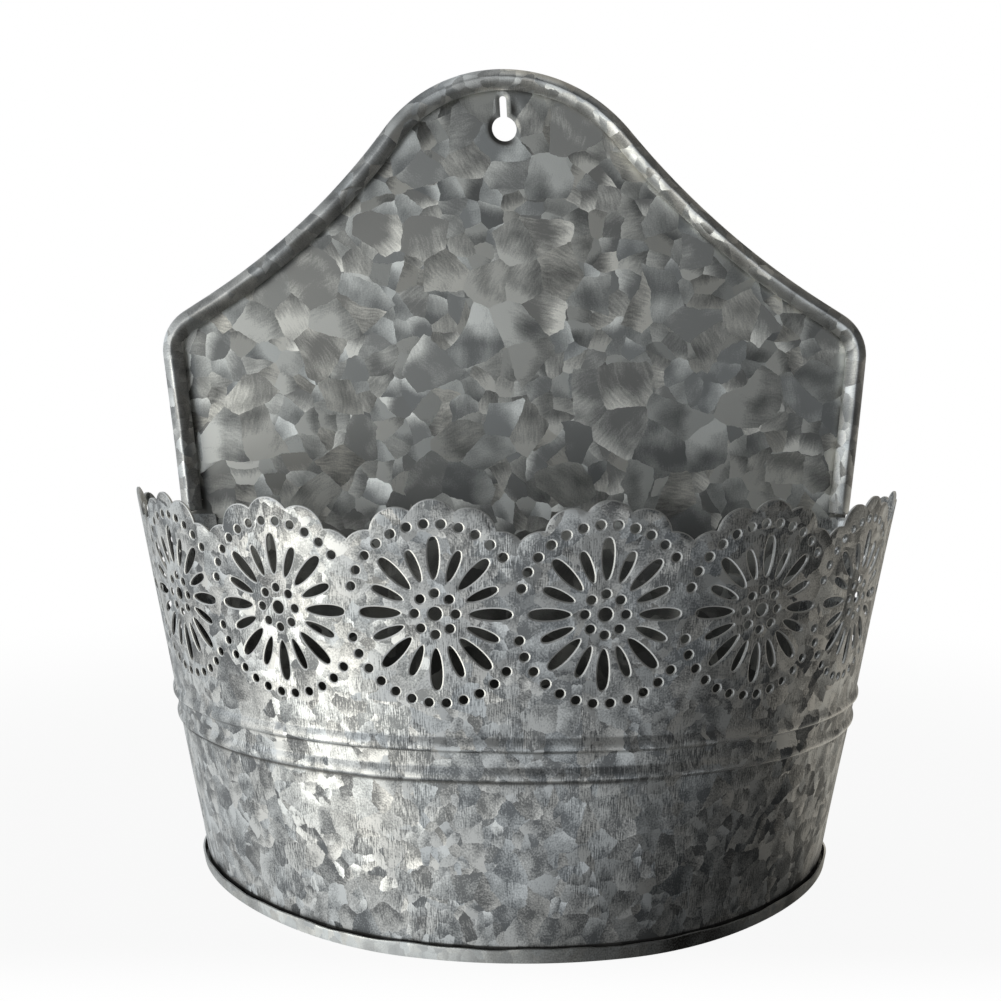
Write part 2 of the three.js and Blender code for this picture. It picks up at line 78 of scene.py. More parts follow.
def wall_plan(girth):
    """Place and heading on the plan: arcs that turn left one after another. The chord of an
    arc is its length times the sine of half its turn over that half, along the mean heading."""
    starts = np.concatenate([[0], np.cumsum(ARC_LENGTHS)])
    heads = np.concatenate([[0], np.cumsum(ARC_TURNS)])
    chords = ARC_LENGTHS * np.sinc(ARC_TURNS / 2 / np.pi)
    xs = np.concatenate([[0], np.cumsum(chords * np.cos(heads[:-1] + ARC_TURNS / 2))])
    ys = np.concatenate([[0], np.cumsum(chords * np.sin(heads[:-1] + ARC_TURNS / 2))])
    arc = np.clip(np.searchsorted(starts, girth, side="right") - 1, 0, len(ARC_LENGTHS) - 1)
    run = girth - starts[arc]
    turn = ARC_TURNS[arc] * run / ARC_LENGTHS[arc]
    chord = run * np.sinc(turn / 2 / np.pi)
    x = xs[arc] + chord * np.cos(heads[arc] + turn / 2)
    y = ys[arc] + chord * np.sin(heads[arc] + turn / 2)
    return x, y, heads[arc] + turn


WALL_DEPTH = wall_plan(np.array([FLANGE_END]))[1][0]


def wide(z):
    """The wall widens by the same share for each millimetre of height, from the row."""
    return 1 + WIDENING * (z - ROW)


def rounding(girth, z):
    """The foot is rounder than the row: the wall moves forwards in the middle and backwards
    at the sides by a cosine of the girth that dies out at the heel, in step with the drop."""
    share = np.minimum(np.abs(girth) / HALF_GIRTH, 1)
    return FOOT_ROUNDING * (1 - z / ROW) * np.cos(1.6 * np.pi * share) * (1 - share**4)


def wall_place(girth, z, into):
    """The plan place moved into the sheet along its normal, widened and deepened with
    height, and set with its flanges just before the back panel. In millimetres."""
    x, y, heading = wall_plan(np.abs(girth))
    x, y = x - into * np.sin(heading), y + into * np.cos(heading)
    deep = 1 + DEEPENING * (z - ROW)
    y = PANEL_FACE - CLEARANCE - (WALL_DEPTH - y) * deep - rounding(girth, z)
    return np.stack([np.sign(girth) * x * wide(z), y, z + 0 * girth], -1)


def around(radius, angle):
    """Polar place with the angle from straight up."""
    return np.stack([radius * np.sin(angle), radius * np.cos(angle)], -1)


def dot(middle, radius, sides=12):
    """A round hole, anticlockwise."""
    return middle + around(radius, -2 * np.pi * (np.arange(sides) + 0.5) / sides)


def petal(length, width, angle):
    """A drop: its length goes out and back as half a cosine wave, and its half width is a power
    of the sine of the turn, for a blunt outer end, times a power of the sine of half the turn,
    which makes the inner end slim."""
    turn = 2 * np.pi * np.arange(22) / 22
    along = PETAL_START + length * (1 - np.cos(turn)) / 2
    aside = np.sign(np.sin(turn)) * np.abs(np.sin(turn)) ** 0.8 * np.sin(turn / 2) ** 0.35
    aside *= width / 2 / aside.max()
    axis = around(1, angle)
    return along[:, None] * axis + aside[:, None] * np.array([axis[1], -axis[0]])


def grown(outline, by):
    """An anticlockwise outline moved outwards along its normals."""
    tangent = np.roll(outline, -1, 0) - np.roll(outline, 1, 0)
    normal = np.stack([tangent[:, 1], -tangent[:, 0]], -1)
    return outline + by * normal / np.linalg.norm(normal, axis=1, keepdims=True)


def rosette_holes():
    """Middle hole, 8 hub dots, 16 petals, long and short by turns, and the ring of dots."""
    step = 2 * np.pi / 32
    ring = [up + (i + 0.5) * step for up in (0, np.pi) for i in range(-5, 5)]
    side = around(DOT_CIRCLE, -5.5 * step)
    shared = np.array([-PITCH / 2, SIDE_DOT_RISE])
    places = [around(HUB_CIRCLE, 4 * i * step) for i in range(8)]
    places += [around(DOT_CIRCLE, a) for a in ring]
    places += [side, side * (1, -1), shared, shared * (1, -1)]
    holes = [dot(np.zeros(2), MIDDLE_RADIUS, 16)] + [dot(place, DOT_RADIUS) for place in places]
    return holes + [petal(*(SHORT_PETAL if i % 2 else LONG_PETAL), 2 * i * step) for i in range(16)]


def valley(radius):
    """Height over the row at which the outer lobes of two rosettes meet, found by repeating."""
    lobe = around(LOBE_CIRCLE, 2 * LOBE_STEP)
    rise = lobe[1]
    for _ in range(5):
        reach = PITCH / 2 * wide(ROW + rise) - lobe[0]
        rise = lobe[1] + np.sqrt(max(radius**2 - reach**2, 0))
    return rise


def lobed_edge(radius):
    """The upper edge from left to right as girth and height: circles of one radius every 25
    degrees round each rosette, and the valleys between the rosettes."""
    angle = np.radians(np.arange(-62.5, 62.6, 2.5))
    aside = angle - np.clip(np.round(angle / LOBE_STEP), -2, 2) * LOBE_STEP
    half_chord = np.sqrt(np.maximum(radius**2 - (LOBE_CIRCLE * np.sin(aside)) ** 2, 0))
    reach = LOBE_CIRCLE * np.cos(aside) + half_chord
    arc = around(reach, angle)
    low = np.array([[-PITCH / 2, valley(radius)]])
    edge = []
    for n in range(ROSETTES):
        middle = (n - (ROSETTES - 1) / 2) * PITCH
        girth = arc[:, 0] / wide(ROW + arc[:, 1])
        keep = np.abs(girth) < PITCH / 2 - 0.4
        edge += [low + (middle, ROW), np.stack([middle + girth, ROW + arc[:, 1]], -1)[keep]]
    edge.append(low * (-1, 1) + ((ROSETTES - 1) / 2 * PITCH, ROW))
    ends = np.array([[HALF_GIRTH, ROW + valley(radius)]])
    return np.concatenate([ends * (-1, 1), *edge, ends])


def loop_strip(first, second, count, closed):
    """Triangles of the strip between two rows of points, given by their first indices."""
    i = np.arange(count if closed else count - 1)
    j = (i + 1) % count
    a, b, c, d = first + i, first + j, second + j, second + i
    return np.concatenate([np.stack([a, b, c], -1), np.stack([a, c, d], -1)])


def fill(contour, holes, loose):
    """Triangles of a flat sheet inside a contour and outside its holes, through loose points."""
    loops = [contour, *holes]
    flat = np.concatenate([*loops, loose])
    starts = np.cumsum([0] + [len(loop) for loop in loops])
    rings = [list(range(a, b)) for a, b in zip(starts[:-1], starts[1:])]
    made = delaunay_2d_cdt([Vector(p) for p in flat.tolist()], [], rings, 0, 1e-5, True)
    source = np.array([ids[0] if ids else -1 for ids in made[3]])
    inside = np.array([ids == [0] for ids in made[5]])
    return flat, source[np.array(made[2])[inside]]


def grid_sheet(across, up):
    """A flat grid of points and its triangles."""
    flat = np.stack(np.meshgrid(across, up, indexing="ij"), -1).reshape(-1, 2)
    i, j = np.meshgrid(np.arange(len(across) - 1), np.arange(len(up) - 1), indexing="ij")
    a = (i * len(up) + j).ravel()
    b, c, d = a + len(up), a + len(up) + 1, a + 1
    return flat, np.concatenate([np.stack([a, b, c], -1), np.stack([a, c, d], -1)])


def welded(blocks):
    """Joins blocks of flat points, depths and triangles where their points coincide."""
    offset = np.cumsum([0] + [len(flat) for flat, _, _ in blocks])
    flat = np.concatenate([flat for flat, _, _ in blocks])
    depth = np.concatenate([depth for _, depth, _ in blocks])
    triangles = np.concatenate([t + o for (_, _, t), o in zip(blocks, offset)])
    _, first, index = np.unique(np.round(flat, 5), axis=0, return_index=True, return_inverse=True)
    triangles = index.ravel()[triangles]
    used, triangles = np.unique(triangles, return_inverse=True)
    return flat[first][used], depth[first][used], triangles.reshape(-1, 3)


def sheet_piece(name, outer, inner, triangles, pattern, stain_and_painted_light, materials, kinds=0):
    """A bent sheet: the triangles on its outer face, the same ones turned over on its inner
    face, and a cut edge between the two wherever a triangle has no neighbour. The stain and
    painted light and shade have a row for each face, and kinds gives each triangle's material."""
    count = len(outer)
    starts = triangles.ravel()
    ends = np.roll(triangles, -1, 1).ravel()
    open_edge = ~np.isin(ends * count + starts, starts * count + ends)
    a, b = starts[open_edge], ends[open_edge]
    rim = np.concatenate([np.stack([a, b + count, b], -1), np.stack([a, a + count, b + count], -1)])
    faces = np.concatenate([triangles, triangles[:, ::-1] + count, rim])
    mesh = bpy.data.meshes.new(name)
    mesh.from_pydata((np.concatenate([outer, inner]) / 1000).tolist(), [], faces.tolist())
    layer = mesh.uv_layers.new(name="sheet")
    both = np.concatenate([pattern, pattern])
    layer.uv.foreach_set("vector", (both[faces.ravel()] / 100).astype(np.float32).ravel())
    # This attribute holds stain together with painted shade and painted highlight.
    stain = mesh.attributes.new("stain_and_painted_light", "FLOAT", "POINT")
    stain.data.foreach_set("value", np.concatenate(stain_and_painted_light).astype(np.float32))
    slots = np.ones(len(faces), np.int32)
    slots[: 2 * len(triangles)] = np.tile(np.broadcast_to(kinds, len(triangles)), 2)
    mesh.polygons.foreach_set("material_index", slots)
    mesh.polygons.foreach_set("use_smooth", np.ones(len(faces), bool))
    mesh.set_sharp_from_angle(angle=np.radians(38))
    for material in materials:
        mesh.materials.append(material)
    piece = bpy.data.objects.new(name, mesh)
    bpy.context.scene.collection.objects.link(piece)
    return piece


class Reading:
    """A number or vector inside a material: + - * / and ** between readings add Math nodes."""

    def __init__(self, finish, socket):
        self.finish, self.socket = finish, socket

    def math(self, operation, *others):
        values = {i: value for i, value in enumerate((self, *others))}
        return self.finish.add("ShaderNodeMath", {"operation": operation}, values)["Value"]

    def __add__(self, other):
        return self.math("ADD", other)

    def __sub__(self, other):
        return self.math("SUBTRACT", other)

    def __mul__(self, other):
        return self.math("MULTIPLY", other)

    def __truediv__(self, other):
        return self.math("DIVIDE", other)

    def __pow__(self, other):
        return self.math("POWER", other)

    __radd__, __rmul__ = __add__, __mul__

    def __rsub__(self, other):
        return (self * -1) + other

    def between(self, low, high):
        """0 below low, 1 above high, and smooth between."""
        settings = {"interpolation_type": "SMOOTHSTEP"}
        values = {"Value": self, "From Min": low, "From Max": high}
        return self.finish.add("ShaderNodeMapRange", settings, values)["Result"]


class Finish:
    """The nodes of a material or of the world. add() takes a node's type, its settings and its
    sockets' values or links."""

    def __init__(self, tree):
        self.tree = tree

    def add(self, kind, settings=None, values=None):
        node = self.tree.nodes.new(kind)
        for key, value in (settings or {}).items():
            setattr(node, key, value)
        for key, value in (values or {}).items():
            if isinstance(value, Reading):
                self.tree.links.new(value.socket, node.inputs[key])
            else:
                node.inputs[key].default_value = value
        outputs = [socket for socket in reversed(node.outputs) if socket.enabled]
        return {socket.name: Reading(self, socket) for socket in outputs}

    def vector(self, operation, *values):
        made = self.add("ShaderNodeVectorMath", {"operation": operation}, dict(enumerate(values)))
        return made["Value"] if operation in ("DOT_PRODUCT", "LENGTH") else made["Vector"]

    def scaled(self, colour, by):
        values = {0: colour, "Scale": by}
        return self.add("ShaderNodeVectorMath", {"operation": "SCALE"}, values)["Vector"]

    def blend(self, factor, a, b):
        settings = {"data_type": "RGBA", "clamp_factor": True}
        return self.add("ShaderNodeMix", settings, {0: factor, 6: a, 7: b})["Result"]

    def noise(self, vector, scale, detail=2.0):
        values = {"Vector": vector, "Scale": scale, "Detail": detail}
        return self.add("ShaderNodeTexNoise", {"noise_dimensions": "2D"}, values)

    def parts(self, colour):
        return self.add("ShaderNodeSeparateColor", {}, {"Color": colour})

    def joined(self, x, y):
        return self.add("ShaderNodeCombineXYZ", {}, {"X": x, "Y": y, "Z": 0.0})["Vector"]


def galvanised(name, crystal, tones, bias, contrast, fibre, grit, scratch, stain, seed):
    """Zinc spangle on the flat pattern of the sheet, in centimetres. Crystals are cells with
    jagged borders. Each has its own grey, gloss and lean, and fades and is feathered along a
    direction of its own. Over them lie a fine grain and faint upright scratches. Tones are the
    dark and light colours and a darkest one for stain and painted shade. The sheet's attribute
    blends the zinc towards that darkest colour where it is over 0, for stain, painted shade and
    darker insides, and makes it lighter where it is under 0, as a painted highlight."""
    material = bpy.data.materials.new(name)
    material.use_nodes = True
    finish = Finish(material.node_tree)
    shader = material.node_tree.nodes["Principled BSDF"]
    flat = finish.add("ShaderNodeUVMap", {"uv_map": "sheet"})["UV"]
    flat = finish.vector("MULTIPLY_ADD", flat, (10, 10, 10), (seed, seed * 1.7, 0))
    grey = (0.5, 0.5, 0.5)
    bend = finish.vector("SUBTRACT", finish.noise(flat, 0.6 / crystal, 1.0)["Color"], grey)
    jag = finish.vector("SUBTRACT", finish.noise(flat, 5.0 / crystal, 3.0)["Color"], grey)
    bent = finish.vector("MULTIPLY_ADD", bend, (0.55 * crystal, 0.55 * crystal, 0), flat)
    bent = finish.vector("MULTIPLY_ADD", jag, (0.14, 0.14, 0), bent)
    cells = {"voronoi_dimensions": "2D", "feature": "F1"}
    large = finish.add("ShaderNodeTexVoronoi", cells, {"Vector": bent, "Scale": 1 / crystal})
    small = finish.add("ShaderNodeTexVoronoi", cells, {"Vector": bent, "Scale": 1.9 / crystal})
    use_small = finish.parts(large["Color"])["Blue"].math("GREATER_THAN", 0.5)
    chance = finish.blend(use_small, large["Color"], small["Color"])
    middle = finish.blend(use_small, large["Position"], small["Position"])
    parts = finish.parts(chance)
    away = finish.vector("SUBTRACT", bent, middle)
    heading = parts["Green"] * (2 * np.pi)
    ahead, aside = heading.math("COSINE"), heading.math("SINE")
    along = finish.vector("DOT_PRODUCT", away, finish.joined(ahead, aside)) / crystal
    across = finish.vector("DOT_PRODUCT", away, finish.joined(aside * -1, ahead)) / crystal
    comb = finish.joined(along * 3 + parts["Red"] * 9, across * 17)
    feather = finish.noise(comb, 1.0)["Fac"] - 0.5
    grain = finish.noise(flat, 15.0)["Fac"] - 0.5
    patches = finish.noise(flat, 0.4)["Fac"]
    streaks = finish.noise(finish.vector("MULTIPLY", flat, (27.0, 2.6, 1.0)), 1.0)["Fac"] - 0.5
    scratched = patches.between(0.42, 0.62) * scratch
    own_place = finish.vector("MULTIPLY_ADD", chance, (7, 7, 0), flat)
    cloud = finish.noise(own_place, 1.3 / crystal, 1.0)["Fac"] - 0.5
    fade = (along + 0.15).math("MAXIMUM", 0.0) * (parts["Blue"] * 2.2)
    combed = feather * (parts["Green"] + 0.15) * fibre
    tone = (parts["Red"] - 0.5) * 0.75 + fade + cloud * 1.1 + combed - 0.12
    stain_and_painted_light = finish.add("ShaderNodeAttribute", {"attribute_name": "stain_and_painted_light"})["Fac"]
    # Under 0 the attribute paints a highlight: the zinc is made lighter.
    painted_highlight = (stain_and_painted_light * -1).math("MAXIMUM", 0.0)
    tone = 0.45 + tone * contrast + grain * grit + streaks * scratched * 2.6 + painted_highlight
    dark, light, stain_and_shade_tone = tones
    colour = finish.blend(tone.math("MAXIMUM", 0.0) ** bias, dark, light)
    hue = finish.blend(parts["Green"], (0.96, 0.985, 1.0, 1), (1.0, 0.985, 0.96, 1))
    colour = finish.vector("MULTIPLY", colour, hue)
    # Blend towards the darkest tone: stain together with painted shade.
    stain_and_shade = (stain_and_painted_light + (patches.between(0.5, 0.75) * 0.5 + grain + 0.25) * stain).math("MINIMUM", 1.0)
    colour = finish.blend(stain_and_shade, colour, stain_and_shade_tone)
    lean = finish.vector("SUBTRACT", chance, grey)
    normal = finish.add("ShaderNodeNewGeometry")["Normal"]
    normal = finish.vector("MULTIPLY_ADD", lean, (0.3, 0.3, 0.3), normal)
    normal = finish.vector("NORMALIZE", normal)
    height = grain * 0.5 + streaks * scratched * 0.8 + feather * 0.3
    bump = {"Height": height, "Normal": normal, "Strength": 0.45, "Distance": 0.00012}
    normal = finish.add("ShaderNodeBump", {}, bump)["Normal"]
    rough = 0.34 + parts["Green"] * 0.14 + stain_and_shade * 0.2
    for key, value in {"Base Color": colour, "Roughness": rough, "Normal": normal}.items():
        material.node_tree.links.new(value.socket, shader.inputs[key])
    shader.inputs["Metallic"].default_value = 0.92
    return material


def cut_edge(name, colour):
    """Bare metal where the sheet or the wire was sheared, with fine tear marks."""
    material = bpy.data.materials.new(name)
    material.use_nodes = True
    finish = Finish(material.node_tree)
    shader = material.node_tree.nodes["Principled BSDF"]
    place = finish.add("ShaderNodeTexCoord")["Object"]
    marks = {"Vector": place, "Scale": 900.0, "Detail": 2.0}
    grain = finish.add("ShaderNodeTexNoise", {}, marks)["Fac"]
    tint = finish.blend(grain, tuple(0.72 * c for c in colour[:3]) + (1,), colour)
    rough = 0.3 + grain * 0.25
    for key, value in {"Base Color": tint, "Roughness": rough}.items():
        material.node_tree.links.new(value.socket, shader.inputs[key])
    shader.inputs["Metallic"].default_value = 0.9
    return material


def bead(z):
    """Height of a bead over the wall: the soft minimum of a steep rise from its foot, its
    crest and a long even slope back above it, as one over the sixth root of the summed
    sixth powers of their inverses."""
    shares = [np.clip((z - middle) / BEAD_HALF / 2 + 0.5, 1e-3, 1 - 1e-3) for middle in BEADS]
    return sum(((0.2 / u) ** 6 + (0.52 / (1 - u)) ** 6 + 1) ** (-1 / 6) for u in shares) * BEAD_RISE


def buckle(girth, z):
    """Slight unevenness of the bent sheet: long slow waves, a few tenths of a millimetre."""
    return (
        0.16 * np.sin(girth / 23 + z / 41 + 0.6)
        + 0.12 * np.sin(girth / 11.3 - z / 19 + 2.1)
        + 0.08 * np.sin(girth / 6.1 + z / 12.7 + 4.0)
    )


def soft_line(value, middle, breadth):
    """A soft line on the sheet: a bell curve of one coordinate round its middle."""
    return np.exp(-(((value - middle) / breadth) ** 2))


def painted_wall_shade_and_highlight(girth, z):
    """Painted shade in the foot of each bead, broken in places and fading out to the right,
    where painted highlight lines run along the beads' crests instead; and painted shade in
    the groove over the pan's lip."""
    broken = 0.55 + 0.25 * np.sin(girth / 13 + 1.0) + 0.2 * np.sin(girth / 5.3)
    bead_shade_reach = np.clip((75 - girth) / 40, 0, 1)
    painted_highlight = np.clip((girth - 50) / 30, 0, 1)
    low, high = [middle - BEAD_HALF for middle in BEADS]
    # Painted shade in the feet of the beads, and painted highlight lines along their crests.
    bead_foot_shade = 0.9 * soft_line(z, low - 0.2, 0.6) + 0.8 * broken * soft_line(z, high, 0.4)
    painted_crest_lines = 1.1 * painted_highlight * (soft_line(z, low + 1.3, 0.8) + soft_line(z, high + 1.3, 0.8))
    # Painted shade in the groove over the pan's lip.
    groove = 0.95 * np.clip((HEM[1] - z) / (HEM[1] - HEM[0]), 0, 1)
    return bead_shade_reach * bead_foot_shade - painted_crest_lines + groove


def front_wall():
    """The flat pattern of the strip, filled between its holes and edges, then bent round."""
    inset, drop = EDGE_ROLL
    edge, shore = lobed_edge(LOBE_RADIUS), lobed_edge(LOBE_RADIUS - inset)
    columns = np.linspace(-HALF_GIRTH, HALF_GIRTH, 171)
    rises = np.linspace(BORDER_FOOT, shore[0, 1], 23)
    foot = np.stack([columns, np.full(171, BORDER_FOOT)], -1)
    left = np.stack([np.full(23, -HALF_GIRTH), rises], -1)
    right = np.stack([np.full(23, HALF_GIRTH), rises], -1)
    contour = np.concatenate([foot, right[1:-1], shore[::-1], left[1:-1][::-1]])
    holes, rims = [], []
    for n in range(ROSETTES):
        middle = (n - (ROSETTES - 1) / 2) * PITCH
        for hole in rosette_holes():
            for store, outline in ((holes, hole), (rims, grown(hole, inset))):
                z = ROW + outline[:, 1]
                store.append(np.stack([middle + outline[:, 0] / wide(z), z], -1))
    across = np.arange(-HALF_GIRTH + 2, HALF_GIRTH - 1, 2.6)
    loose, _ = grid_sheet(across, np.arange(BORDER_FOOT + 2, 157, 2.3))
    loose[:, 0] += (np.round(loose[:, 1] / 2.3) % 2) * 1.3
    known = np.concatenate([*rims, contour])
    near = np.concatenate([
        (((part[:, None] - known[None]) ** 2).sum(-1)).min(1) for part in np.array_split(loose, 40)
    ])
    loose = loose[near > 1.2**2]
    flat, triangles = fill(contour, rims, loose)
    blocks = [(flat, np.zeros(len(flat)), triangles)]
    plain = len(triangles)
    for rim, hole in zip(rims, holes):
        count = len(rim)
        strip = np.concatenate([rim, hole])
        depth = np.repeat([0, drop], count)
        blocks.append((strip, depth, loop_strip(0, count, count, True)[:, ::-1]))
    strip, count = np.concatenate([shore, edge]), len(edge)
    blocks.append((strip, np.repeat([0, drop], count), loop_strip(0, count, count, False)))
    rolled = sum(len(triangles) for _, _, triangles in blocks) - plain
    bead_rows = np.concatenate([m + BEAD_HALF * np.linspace(-1, 1, 15) for m in BEADS])
    gap_rows = np.linspace(BEADS[0] + BEAD_HALF, BEADS[1] - BEAD_HALF, 5)[1:-1]
    steps = (-BEAD_HALF - 0.8, -BEAD_HALF - 0.4, BEAD_HALF + 0.5)
    creases = [middle + step for middle in BEADS for step in steps]
    rows = np.concatenate([
        np.linspace(SHEET + 0.3, BEADS[0] - BEAD_HALF - 1.4, 24), HEM, creases, bead_rows, gap_rows,
        np.linspace(BEADS[1] + BEAD_HALF + 1.2, BORDER_FOOT, 5),
    ])
    rows = np.unique(np.round(rows, 5))
    grid, triangles = grid_sheet(columns, rows)
    blocks.append((grid, np.zeros(len(grid)), triangles))
    folds = HALF_GIRTH + (FOLD_END - HALF_GIRTH) * np.linspace(0, 1, 7)
    folds = np.concatenate([folds, [FOLD_END + 5, FLANGE_END]])
    rows = np.unique(np.round(np.concatenate([rows, rises, [edge[0, 1]]]), 5))
    for side in (1, -1):
        grid, triangles = grid_sheet(np.sort(side * folds), rows)
        blocks.append((grid, np.where(grid[:, 1] > shore[0, 1] + 0.01, drop, 0.0), triangles))
    flat, depth, triangles = welded(blocks)
    girth, z = flat.T
    round_part = np.clip((HALF_GIRTH + 1 - np.abs(girth)) / 12, 0, 1)
    foot_part = np.clip((z - 6) / 12, 0, 1)
    bead_part = np.clip((HALF_GIRTH - np.abs(girth)) / 4, 0, 1)
    out = bead(z) * bead_part + buckle(girth, z) * round_part * foot_part
    outer = wall_place(girth, z, depth - out)
    inner = wall_place(girth, z, SHEET - out)
    stain_and_painted_light = painted_wall_shade_and_highlight(girth, z)
    inside = 0.35 * np.clip((138 - z) / 35, 0, 1)
    kinds = np.repeat([0, 1, 0], [plain, rolled, len(triangles) - plain - rolled])
    return outer, inner, triangles, flat, (stain_and_painted_light, inside), kinds


outer, inner, triangles, flat, stain_and_painted_light, kinds = front_wall()
# The darkest tone paints the shade in the beads' feet and the groove, and darkens the inner face
# lower down.
wall_tones = ((0.18, 0.184, 0.188, 1), (0.76, 0.76, 0.75, 1), (0.08, 0.078, 0.074, 1))
wall_zinc = galvanised(
    "wall_zinc", crystal=0.82, tones=wall_tones, bias=1.0, contrast=1.0,
    fibre=0.8, grit=1.15, scratch=1.0, stain=0.0, seed=3.0,
)
wall_cut = cut_edge("wall_cut_edge", (0.76, 0.76, 0.74, 1))
wall = sheet_piece("lace_wall", outer, inner, triangles, flat, stain_and_painted_light, [wall_zinc, wall_cut], kinds)
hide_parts("front_wall")
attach(wall, "root")

# ---------------------------------------------------------------- back panel
# A flat galvanised sheet with a bell-shaped top. Its edge is rolled forwards round a wire,
# and a keyhole with a coined edge is punched under the top to hang the planter on a screw.

PANEL_TOP = 341.7
RIM_RADIUS = 4.6
RIM_POWER = 1.4
RIM_END = ROW + valley(LOBE_RADIUS) + 1.5
MARGIN = 1.5
KEYHOLE = np.array([-1.0, PANEL_TOP - 24.9])
KEYHOLE_RADIUS = 5.5
SLOT_HALF = 1.5
SLOT_RISE = 13.0
DOME_RADIUS, DOME_TURN = 70, np.radians(51.6)
FLANK_RADIUS, FLANK_TURN = 335, np.radians(19.4)
SHOULDER_RADIUS = 21
SIDE_LEAN = 0.104
TOP_LEAN = 0.00017


def heel_half(z):
    """Half width of the wall where its heel meets the fold of the flange."""
    return wall_plan(np.array([HALF_GIRTH - 1e-6]))[0][0] * wide(z)


def leaning(points):
    """The top leans to the left by the square of the height over the rim's cut ends."""
    lean = TOP_LEAN * np.maximum(points[..., 2] - RIM_END, 0) ** 2
    return points - lean[..., None] * (1, 0, 0)


def bell_outline(step):
    """Right half of the panel's edge from the top down to the rim's cut end: the dome's arc
    to the right, the flank's to the left, a straight, the shoulder's arc, then the side."""
    slope, down = FLANK_TURN - DOME_TURN, -np.pi / 2 - np.arctan(SIDE_LEAN)

    def run(pieces, start):
        place, heading = np.array(start, float), 0.0
        places, heads = [place[None]], [np.array([heading])]
        for length, turn in pieces:
            count = int(np.ceil(max(length / step, abs(turn) / 0.12, 1)))
            share = np.linspace(0, 1, count + 1)[1:]
            mean = heading + turn * share / 2
            chord = length * share * np.sinc(turn * share / 2 / np.pi)
            places.append(place + chord[:, None] * np.stack([np.cos(mean), np.sin(mean)], -1))
            heads.append(heading + turn * share)
            place, heading = places[-1][-1], heading + turn
        return np.concatenate(places), np.concatenate(heads)

    arcs = [(DOME_RADIUS * DOME_TURN, -DOME_TURN), (FLANK_RADIUS * FLANK_TURN, FLANK_TURN)]
    bell = run(arcs, (0, PANEL_TOP))[0][-1]
    shoulder = (SHOULDER_RADIUS * (slope - down), down - slope)
    mean = slope + shoulder[1] / 2
    corner = shoulder[0] * np.sinc(shoulder[1] / 2 / np.pi) * np.array([np.cos(mean), np.sin(mean)])
    side = heel_half(RIM_END) + MARGIN + SIDE_LEAN * (bell[1] + corner[1] - RIM_END)
    straight = (side - bell[0] - corner[0]) / (np.cos(slope) - SIDE_LEAN * np.sin(slope))
    pieces = [*arcs, (straight, 0), shoulder]
    fall = (run(pieces, (0, PANEL_TOP))[0][-1][1] - RIM_END) / np.cos(np.arctan(SIDE_LEAN))
    return run([*pieces, (fall, 0)], (0, PANEL_TOP))


def rim_line(step):
    """Middle of the rolled rim from its left end over the top to its right end, and the
    direction out of the panel at each place."""
    places, heads = bell_outline(step)
    out = np.stack([-np.sin(heads), np.cos(heads)], -1)
    middle = places - RIM_RADIUS * out
    mirror = np.array([-1, 1])
    return (
        np.concatenate([(middle * mirror)[:0:-1], middle]),
        np.concatenate([(out * mirror)[:0:-1], out]),
    )


def keyhole(by):
    """A circle with a narrow slot over it that ends in a half circle, both grown by a distance."""
    radius, half = KEYHOLE_RADIUS + by, SLOT_HALF + by
    mouth = np.arcsin(half / radius)
    hole = around(radius, -np.linspace(mouth, 2 * np.pi - mouth, 40))
    cap = np.linspace(0, np.pi, 13)
    slot = np.stack([half * np.cos(cap), SLOT_RISE + half * np.sin(cap)], -1)
    return KEYHOLE + np.concatenate([hole, slot])


def keyhole_shade_and_tub_darkening(flat):
    """Painted shade on the front: round the lower left of the keyhole and in the dent beside its
    slot; and darker over what lies inside the tub."""
    x, z = (flat - KEYHOLE).T
    hub = np.hypot(x, z)
    # Painted shade on the lower left of the keyhole's coined edge.
    keyhole_bevel_shade = np.clip(0.45 - (0.8 * x + 0.6 * z) / np.maximum(hub, 1), 0, 1)
    keyhole_bevel_shade *= np.clip((8.0 - hub) / 0.8, 0, 1)
    # Painted shade in the dent beside the slot.
    dent = soft_line(x, 4.2, 1.9) * soft_line(z, 8.5, 3.0)
    in_tub = np.clip((154 - flat[:, 1]) / 24, 0, 1)
    return np.maximum(0.9 * (keyhole_bevel_shade + dent), 0.55 * in_tub)


